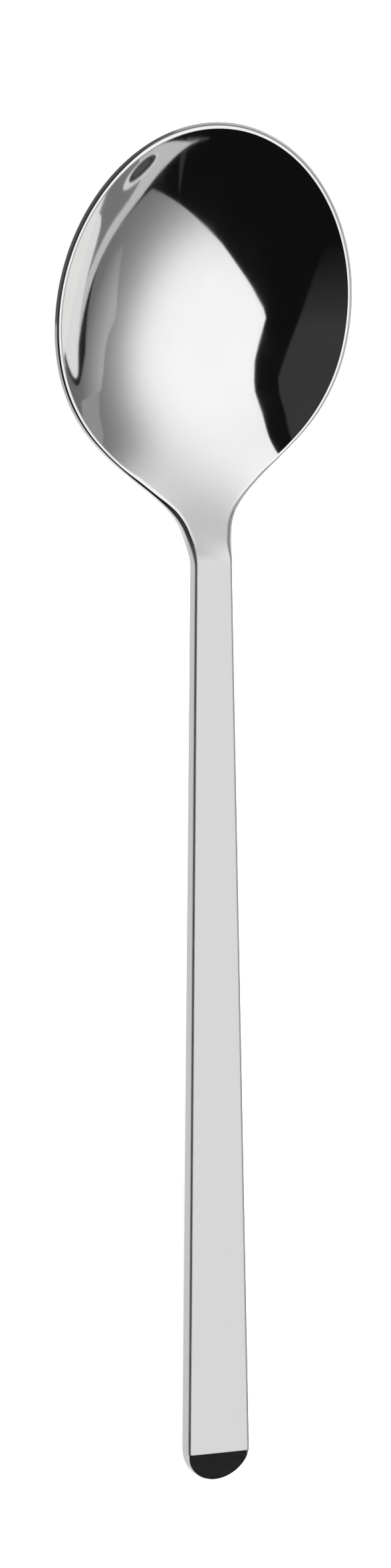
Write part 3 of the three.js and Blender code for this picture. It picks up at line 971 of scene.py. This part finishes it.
def cut_sky(data, planes):
    """Keeps only what lies behind every plane through the middle of the tent"""
    mesh = bmesh.new()
    mesh.from_mesh(data)
    for plane in planes:
        everything = mesh.verts[:] + mesh.edges[:] + mesh.faces[:]
        bmesh.ops.bisect_plane(mesh, geom=everything, plane_co=(0, 0, 0), plane_no=plane, clear_outer=True)
    mesh.to_mesh(data)
    mesh.free()
    return data


# Planes through the middle of the tent that end its sheets of cloth, first at the top of all of them and
# then at the foot of each, and planes that end the grey wall. Their normals face outwards.
CLOTH_TOP = ((-0.98, 1.0, -0.992), (-0.868, 1.0, -0.868), (-0.72, 1.0, -0.77), (-0.29, 1.0, -0.56))
CLOTH_FEET = {
    "right_cloth": (0.3, 1.0, -0.321),
    "turning_cloth": (0.11, 1.0, -0.3248),
    "middle_cloth": (0.0, 1.0, -0.309),
    "far_cloth": (-0.3, 1.0, -0.243),
}
WALL_PLANES = ((-0.4446, -1.0, 0.5916), (0.0, -1.0, 0.54), (0.296, -1.0, 0.468))
WALL_FADE = (-0.66, -0.27)  # how far along X the wall is dark and fully lit, as a share of the radius
FLOOR_FADE = (-0.95, 0.0)  # how far down the floor is bright and dim, as a share of the radius
TENT_LEAN = (-155, 83.5)  # azimuth and elevation of the brightest cloth

# The cloth's brightness, from the level of the floor to its brightest place
TENT_FALL = (
    (0, 0.13), (0.21, 0.165), (0.375, 0.23), (0.5, 0.35), (0.62, 0.57), (0.72, 0.79), (0.81, 0.93),
    (0.89, 0.985), (1, 1),
)

# A sheen on the foot of the tent that grows brighter upwards: stations of azimuth, lower and upper
# elevation in degrees, then the elevations and the strengths between which it grows
SHEEN = (
    (-129, 13, 13.2), (-125, 10.5, 16), (-121, 9, 19), (-116, 8, 22.3), (-112.5, 8, 23.2), (-108, 8, 21.7),
    (-103.5, 8, 21), (-99, 8, 21.1), (-95, 8, 20.9), (-91, 8, 19.7), (-89.5, 8, 19),
)
SHEEN_ELEVATIONS = (8.0, 20.0)
SHEEN_STRENGTHS = (0.165, 0.46)

# Cards round the foot of the tent, from the farthest to the nearest: brightness, then stations of azimuth,
# lower and upper elevation in degrees
LOW_CARDS = {
    "left_board": (0.11, ((15, 0, 7), (112, 0, 7))),
    "right_floor": (0.64, ((-128, -55, -16), (-60, -55, -16))),
    "side_sheen": (0.33, (
        (-89.5, 8, 18.3), (-87, 8, 17.6), (-82, 8, 16.7), (-76, 9, 17.2), (-71, 12, 18),
        (-66, 17.5, 18.5))),
    "dark_foot": (0.01, ((-175, -10, 0.5), (-129, -10, 0.5))),
    "dark_gap": (0.012, (
        (-147, 6.5, 12), (-144.3, 6.5, 11.6), (-143.4, 6.5, 9.9), (-140, 6.5, 9.1), (-136, 6.5, 8.5),
        (-132.5, 6.5, 7.7), (-130, 6.5, 6.9))),
    "black_board": (0.011, (
        (-119.5, 5.4, 5.65), (-115, 4, 6.5), (-110, 3, 7.7), (-106, -3, 8.9), (-103.5, -3, 9.6),
        (-101.5, -1.5, 9.85), (-98.5, 0.8, 9.5), (-96, 3, 8.8), (-94.5, 4.6, 8), (-93.6, 6, 7.2))),
    "cloth_tail": (0.085, ((-161.5, 8.45, 8.65), (-158.5, 7.1, 8), (-156, 5.8, 7.6), (-154, 4.5, 7.3))),
    "low_cloth": (0.6, (
        (-158, 7.3, 7.4), (-155.5, 6.6, 7.1), (-152.5, 4.5, 7.1), (-150, 2.7, 7.25), (-147, 0.8, 7.45),
        (-144.5, -0.6, 7.6), (-141, -1.9, 7.95), (-138.5, -2.6, 8.05), (-135.5, -3.5, 7.75),
        (-132, -4.6, 7.15), (-127, -6, 6.2), (-121, -6, 5.35), (-114, -6, 5.2), (-108, -6, 5.3),
        (-103, -3, 5.6))),
    "grey_board": (0.21, (
        (-139.5, -7, 3.5), (-137.5, -7, 4.15), (-135, -7, 4.4), (-132.5, -7, 4.15), (-130, -7, 3.5),
        (-127, -7, 2.9), (-123, -7, 2.6), (-119, -7, 2.3), (-115.5, -7, 2.3))),
    "lamp_ring": (0.76, round_card(-139.6, 1.1, 5.5, 2.35, -0.26)),
    "lamp_shade": (0.035, round_card(-140.2, 1.05, 4.2, 1.75, -0.26)),
    "lamp_middle": (0.085, round_card(-139.8, 0.75, 2.6, 0.95, -0.26)),
    "bright_card": (0.86, (
        (-127, -3.6, -3), (-126.7, -4.4, -2.2), (-126, -5, -1.2), (-125, -5, -0.4), (-123, -5, 0.55),
        (-120.5, -5, 1.3), (-117.5, -5, 1.95), (-114, -5, 2.7), (-109, -5, 4.1), (-105, -3.5, 5.2),
        (-103, -1.2, 5.75), (-101, 0, 6.2), (-99, 1.5, 6.6), (-97.3, 3.1, 6.75), (-96.2, 4.3, 6.6),
        (-95.6, 5.3, 6.1))),
    "thin_post": (0.034, ((-154.3, 7.3, 7.5), (-152.4, 7.3, 18.6), (-152.1, 9.9, 19))),
}
CARD_STEP = 0.01  # how much nearer each next card stands, as a share of the tent's radius
FIRST_CARD = 2  # steps from the cloth to the first card, past the sheen

# Mats just under the floor, below the handle and the neck, which only the metal shows: brightness, then the
# right and the left side. The dark right one is painted shade: the floor in the handle's shade, as the
# metal shows it.
MATS_AND_SHADE = {
    "left_mat": (0.86, (0.0, 20.0 * MM)),
    # painted shade: the floor in the handle's shade, as the metal shows it
    "right_painted_shade": (0.12, (-14.0 * MM, 0.0)),
}
SHEET_PAST_END = 5.0 * MM
SHEET_PAST_JOINT = 8.0 * MM
SHEET_DEPTH = 0.3 * MM


def make_tent(stage):
    radius = stage.tent_radius
    far, near = radius * (1 + CARD_STEP), radius * (1 - CARD_STEP)
    along, up = Vector((1 / radius, 0, 0)), Vector((0, 0, 1 / radius))
    sheen_places = [math.sin(math.radians(elevation)) for elevation in SHEEN_ELEVATIONS]
    floor = fading_light("floor_shine", up, FLOOR_FADE, (stage.floor_shine, stage.floor_dim))
    wall = fading_light("grey_wall", along, WALL_FADE, (stage.room, stage.wall))
    sheen = fading_light("sheen", up, sheen_places, SHEEN_STRENGTHS)
    lights = [
        stage_object(round_sky("dark_room", 0, ZENITH, far), glow("dark_room", stage.room)),
        stage_object(round_sky("floor_shine", -ZENITH, 0, far), floor),
        stage_object(cut_sky(round_sky("grey_wall", 0, ZENITH, radius), WALL_PLANES), wall),
        stage_object(sky_band("sheen", SHEEN, near), sheen),
    ]
    cloth = tent_cloth(stage)
    for name, foot in CLOTH_FEET.items():
        sheet = cut_sky(round_sky(name, 0, ZENITH, radius), (*CLOTH_TOP, foot))
        lights.append(stage_object(sheet, cloth))
    for i, (name, (brightness, stations)) in enumerate(LOW_CARDS.items(), FIRST_CARD):
        card = sky_band(name, stations, radius * (1 - CARD_STEP * i))
        lights.append(stage_object(card, glow(name, brightness)))
    for light in lights:
        light.location.x = stage.tent_x
        only_reflected(light)


def level_sheet(name, x_ends, y_ends, height):
    corners = [(x_ends[i], y_ends[j], height) for i, j in ((0, 0), (1, 0), (1, 1), (0, 1))]
    data = bpy.data.meshes.new(name)
    data.from_pydata(corners, [], [(0, 1, 2, 3)])
    return data


# Mats that only the metal shows; the dark right one is painted shade under the handle
def make_mats_and_shade():
    x_ends = (END_X - SHEET_PAST_END, JOINT_X + SHEET_PAST_JOINT)
    for name, (brightness, y_ends) in MATS_AND_SHADE.items():
        floor_sheet = level_sheet(name, x_ends, y_ends, -SHEET_DEPTH)
        only_reflected(stage_object(floor_sheet, glow(name, brightness)))


def make_floor(stage):
    ends = (-stage.floor_reach, stage.floor_reach)
    floor = stage_object(level_sheet("floor", ends, ends, 0), matt_floor(stage))
    floor.visible_glossy = False


def fill_air(stage):
    """Even light for the floor. The metal shows only the tent, the mats and the painted shade, so the air
    stays out of it.
    """
    world = bpy.data.worlds.new("air")
    world.use_nodes = True
    background = world.node_tree.nodes["Background"]
    background.inputs["Color"].default_value = (1, 1, 1, 1)
    background.inputs["Strength"].default_value = stage.air
    world.cycles_visibility.glossy = False
    bpy.context.scene.world = world
    bpy.context.scene.view_settings.view_transform = "Standard"


SENSOR = 36.0  # long side of the camera's sensor, in millimetres
CLIP_START, CLIP_END = 0.1, 100.0  # nearest and farthest that the camera sees


def place_camera(stage):
    toward = Vector((math.sin(stage.camera_lean_tip), math.sin(stage.camera_lean_left), 0))
    toward.z = math.sqrt(1 - toward.length_squared)
    level_up = (Vector((1, 0, 0)) - toward * toward.x).normalized()
    level_right = level_up.cross(toward)
    turn = Matrix.Rotation(-stage.camera_roll, 3, toward)
    right, up = turn @ level_right, turn @ level_up
    target = Vector((0, 0, stage.target_height))
    place = target + toward * stage.camera_distance
    back = (place - target - right * stage.aim_right - up * stage.aim_up).normalized()
    across = up.cross(back).normalized()
    basis = Matrix((across, back.cross(across), back)).transposed()
    data = bpy.data.cameras.new("camera")
    data.sensor_width = SENSOR
    data.lens = SENSOR * stage.camera_distance / stage.picture_height
    data.clip_start = CLIP_START
    data.clip_end = CLIP_END
    camera = bpy.data.objects.new("camera", data)
    camera.matrix_world = Matrix.Translation(place) @ basis.to_4x4()
    bpy.context.scene.collection.objects.link(camera)
    bpy.context.scene.camera = camera


# Operators and panel


def dress(piece, node):
    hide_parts(node)
    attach(piece, "root")


def spoon_shape(context):
    return SpoonShape(context.scene.spoon_handle, context.scene.spoon_bowl)


class SPOON_OT_bowl(Operator):
    """Make the polished bowl with its neck and tenon"""

    bl_idname = "spoon.bowl"
    bl_label = "Make Bowl"

    def execute(self, context):
        bowl = make_bowl(spoon_shape(context), mirror_steel(context.scene.spoon_finish))
        dress(bowl, "bowl")
        return {"FINISHED"}


class SPOON_OT_handle(Operator):
    """Make the satin handle with its polished tip facet"""

    bl_idname = "spoon.handle"
    bl_label = "Make Handle"

    def execute(self, context):
        finish = context.scene.spoon_finish
        handle = make_handle(spoon_shape(context), satin_steel(finish), polished_bevel(finish))
        dress(handle, "handle")
        return {"FINISHED"}


class SPOON_OT_braze_seam(Operator):
    """Make the thin frame of filler metal in the joint"""

    bl_idname = "spoon.braze_seam"
    bl_label = "Make Braze Seam"

    def execute(self, context):
        seam = make_braze_seam(spoon_shape(context), braze_silver(context.scene.spoon_finish))
        dress(seam, "braze_seam")
        return {"FINISHED"}


class SPOON_OT_stage(Operator):
    """Make the floor, the light tent, the mats with the painted shade and the camera"""

    bl_idname = "spoon.stage"
    bl_label = "Make Stage"

    def execute(self, context):
        stage = context.scene.spoon_stage
        make_floor(stage)
        make_tent(stage)
        make_mats_and_shade()
        fill_air(stage)
        place_camera(stage)
        return {"FINISHED"}


class SPOON_PT_panel(Panel):
    """Lists the spoon's pieces and its settings"""

    bl_idname = "SPOON_PT_panel"
    bl_label = "Dessert Spoon"
    bl_space_type = "VIEW_3D"
    bl_region_type = "UI"
    bl_category = "Spoon"

    def draw(self, context):
        for operator in OPERATORS:
            self.layout.operator(operator.bl_idname)
        for place, group in SETTINGS.items():
            box = self.layout.box()
            box.label(text=group.__doc__)
            for name in group.__annotations__:
                box.prop(getattr(context.scene, place), name)


OPERATORS = (SPOON_OT_bowl, SPOON_OT_handle, SPOON_OT_braze_seam, SPOON_OT_stage)
SETTINGS = {
    "spoon_handle": SpoonHandleSettings,
    "spoon_bowl": SpoonBowlSettings,
    "spoon_finish": SpoonFinishSettings,
    "spoon_stage": SpoonStageSettings,
}


def register():
    for settings in SETTINGS.values():
        bpy.utils.register_class(settings)
    for place, settings in SETTINGS.items():
        setattr(bpy.types.Scene, place, PointerProperty(type=settings))
    for operator in OPERATORS:
        bpy.utils.register_class(operator)
    bpy.utils.register_class(SPOON_PT_panel)


def unregister():
    bpy.utils.unregister_class(SPOON_PT_panel)
    for operator in reversed(OPERATORS):
        bpy.utils.unregister_class(operator)
    for place in SETTINGS:
        delattr(bpy.types.Scene, place)
    for settings in reversed(SETTINGS.values()):
        bpy.utils.unregister_class(settings)


def main():
    register()
    bpy.ops.spoon.bowl()
    bpy.ops.spoon.handle()
    bpy.ops.spoon.braze_seam()
    bpy.ops.spoon.stage()


if __name__ == "__main__":
    main()
